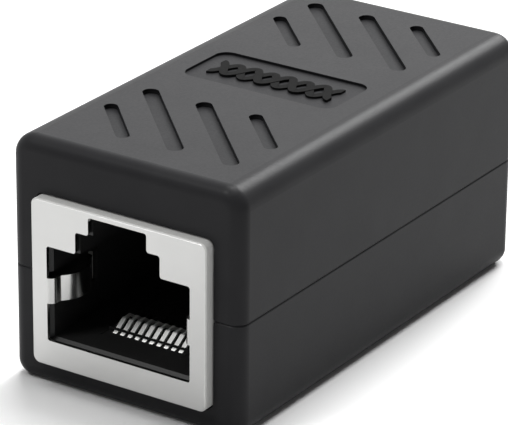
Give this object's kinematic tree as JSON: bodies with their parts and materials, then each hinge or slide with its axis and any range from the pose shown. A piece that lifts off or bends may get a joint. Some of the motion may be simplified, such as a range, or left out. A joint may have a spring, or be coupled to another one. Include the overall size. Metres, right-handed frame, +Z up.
{
  "type": "rj45 inline coupler",
  "caption": "Inline coupler that joins two modular-plug network cables: shielded sockets back to back in a black clamshell housing.",
  "frame": {"origin": "middle of the underside of the body, on the plane it rests on", "axes": "+Z up towards the face with the label panel, Y along the coupler with the front socket opening towards -Y, X across it"},
  "size_m": [0.019, 0.0384, 0.0183],
  "materials": {
    "housing": "black moulded ABS with a fine satin grain",
    "insert": "black glass-filled moulding, smooth satin",
    "shield": "nickel-plated sheet, light satin",
    "contacts": "bright plated copper alloy",
    "board": "green solder mask over glass-epoxy board"
  },
  "bodies": {
    "root": {"lower_shell": "housing", "upper_shell": "housing", "circuit_board": "board", "front_jack_housing": "insert", "front_shield": "shield", "front_contact_carrier": "insert", "front_contact_01": "contacts", "front_contact_02": "contacts", "front_contact_03": "contacts", "front_contact_04": "contacts", "front_contact_05": "contacts", "front_contact_06": "contacts", "front_contact_07": "contacts", "front_contact_08": "contacts", "front_contact_09": "contacts", "front_contact_10": "contacts", "rear_jack_housing": "insert", "rear_shield": "shield", "rear_contact_carrier": "insert", "rear_contact_01": "contacts", "rear_contact_02": "contacts", "rear_contact_03": "contacts", "rear_contact_04": "contacts", "rear_contact_05": "contacts", "rear_contact_06": "contacts", "rear_contact_07": "contacts", "rear_contact_08": "contacts", "rear_contact_09": "contacts", "rear_contact_10": "contacts"}
  },
  "joints": []
}
